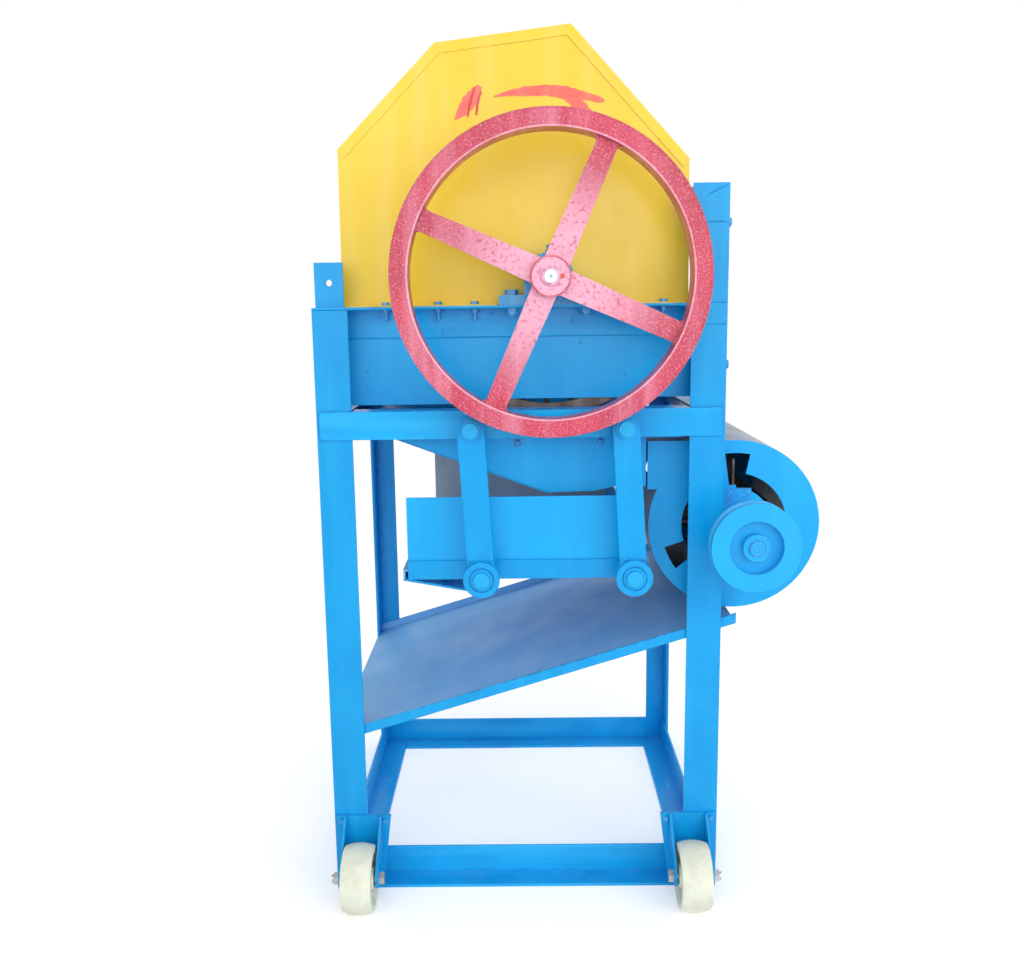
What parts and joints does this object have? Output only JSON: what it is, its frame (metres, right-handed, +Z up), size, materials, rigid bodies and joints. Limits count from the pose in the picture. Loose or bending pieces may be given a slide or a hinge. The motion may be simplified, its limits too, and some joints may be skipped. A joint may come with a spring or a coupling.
{
  "type": "peanut picker",
  "caption": "Peanut picking machine on an angle-bar frame: hooded tine drum with a large belt wheel, hopper, fan, swinging sieve on links, sloping chute and castors.",
  "frame": {"origin": "middle of the footprint, on the floor", "axes": "+Z up, +Y from the belt-wheel side to the back, +X towards the fan and the vine outlet"},
  "size_m": [0.733, 0.6915, 1.262],
  "materials": {
    "blue_paint": "glossy hand-painted sky blue over steel",
    "yellow_paint": "glossy warm yellow over sheet steel",
    "red_paint": "glossy red over rough cast iron",
    "cast_blue": "cast iron painted blue",
    "nylon": "cream cast nylon",
    "zinc": "zinc-plated fasteners",
    "steel": "bare turned steel",
    "dark_steel": "dull dark mild steel"
  },
  "bodies": {
    "frame": {"back_base_rail": "blue_paint", "back_left_post": "blue_paint", "back_mid_rail": "blue_paint", "back_right_post": "blue_paint", "back_top_rail": "blue_paint", "casing_plates": "blue_paint", "castor_axles": "zinc", "castor_brackets": "blue_paint", "castor_fixings": "zinc", "chute": "blue_paint", "concave_ribs": "dark_steel", "concave_rods": "dark_steel", "drum_bearings": "steel", "fan_bearings": "cast_blue", "fan_end_back": "blue_paint", "fan_end_front": "blue_paint", "fan_wrapper": "blue_paint", "feed_apron": "blue_paint", "feed_table_lugs": "blue_paint", "front_base_rail": "blue_paint", "front_left_post": "blue_paint", "front_mid_rail": "blue_paint", "front_right_post": "blue_paint", "front_top_rail": "blue_paint", "hood_bolts": "zinc", "hood_cover": "yellow_paint", "hood_end_back": "yellow_paint", "hood_end_front": "yellow_paint", "hopper_plates": "blue_paint", "hopper_slope_left": "blue_paint", "hopper_slope_right": "blue_paint", "link_pivot_pins": "zinc", "outlet_apron": "blue_paint", "outlet_head": "blue_paint", "pillow_block_bolts": "zinc", "pillow_blocks": "cast_blue", "side_base_rails": "blue_paint", "side_mid_rails": "blue_paint", "side_top_rails": "blue_paint"},
    "drum": {"drum_shaft": "steel", "drum_discs": "dark_steel", "drum_tine_bars": "dark_steel", "drive_wheel": "red_paint"},
    "fan_rotor": {"fan_shaft": "steel", "fan_impeller": "dark_steel", "fan_pulley": "cast_blue"},
    "link_front_left": {"link_front_left": "blue_paint"},
    "link_front_right": {"link_front_right": "blue_paint"},
    "link_back_left": {"link_back_left": "blue_paint"},
    "link_back_right": {"link_back_right": "blue_paint"},
    "sieve": {"sieve_walls": "blue_paint", "sieve_screen": "blue_paint", "sieve_spout": "blue_paint", "sieve_end_wall": "blue_paint", "sieve_runners": "blue_paint", "sieve_pins": "zinc"},
    "castor_left": {"castor_wheel_left": "nylon"},
    "castor_right": {"castor_wheel_right": "nylon"}
  },
  "joints": [
    {"name": "drum_spin", "type": "hinge", "parent": "frame", "child": "drum", "pos_m": [-0.0345, 0.032, 0.9185], "axis": [0, 1, 0], "continuous": true},
    {"name": "fan_spin", "type": "hinge", "parent": "frame", "child": "fan_rotor", "pos_m": [0.2395, 0.032, 0.555], "axis": [0, 1, 0], "continuous": true},
    {"name": "link_front_left_swing", "type": "hinge", "parent": "frame", "child": "link_front_left", "pos_m": [-0.1465, -0.266, 0.711], "axis": [0, 1, 0], "range_deg": [-4, 4]},
    {"name": "link_front_right_swing", "type": "hinge", "parent": "frame", "child": "link_front_right", "pos_m": [0.0705, -0.266, 0.711], "axis": [0, 1, 0], "range_deg": [-4, 4]},
    {"name": "link_back_left_swing", "type": "hinge", "parent": "frame", "child": "link_back_left", "pos_m": [-0.1465, 0.33, 0.711], "axis": [0, 1, 0], "range_deg": [-4, 4]},
    {"name": "link_back_right_swing", "type": "hinge", "parent": "frame", "child": "link_back_right", "pos_m": [0.0705, 0.33, 0.711], "axis": [0, 1, 0], "range_deg": [-4, 4]},
    {"name": "sieve_level", "type": "hinge", "parent": "link_front_left", "child": "sieve", "pos_m": [-0.13461, -0.266, 0.49833], "axis": [0, 1, 0], "range_deg": [-4, 4]},
    {"name": "castor_left_roll", "type": "hinge", "parent": "frame", "child": "castor_left", "pos_m": [-0.3225, -0.294, 0.05], "axis": [1, 0, 0], "continuous": true},
    {"name": "castor_right_roll", "type": "hinge", "parent": "frame", "child": "castor_right", "pos_m": [0.1695, -0.294, 0.05], "axis": [1, 0, 0], "continuous": true}
  ],
  "couplings": [
    {"joint": "link_front_right_swing", "follows": "link_front_left_swing", "ratio": 1},
    {"joint": "link_back_left_swing", "follows": "link_front_left_swing", "ratio": 1},
    {"joint": "link_back_right_swing", "follows": "link_front_left_swing", "ratio": 1},
    {"joint": "sieve_level", "follows": "link_front_left_swing", "ratio": -1}
  ]
}
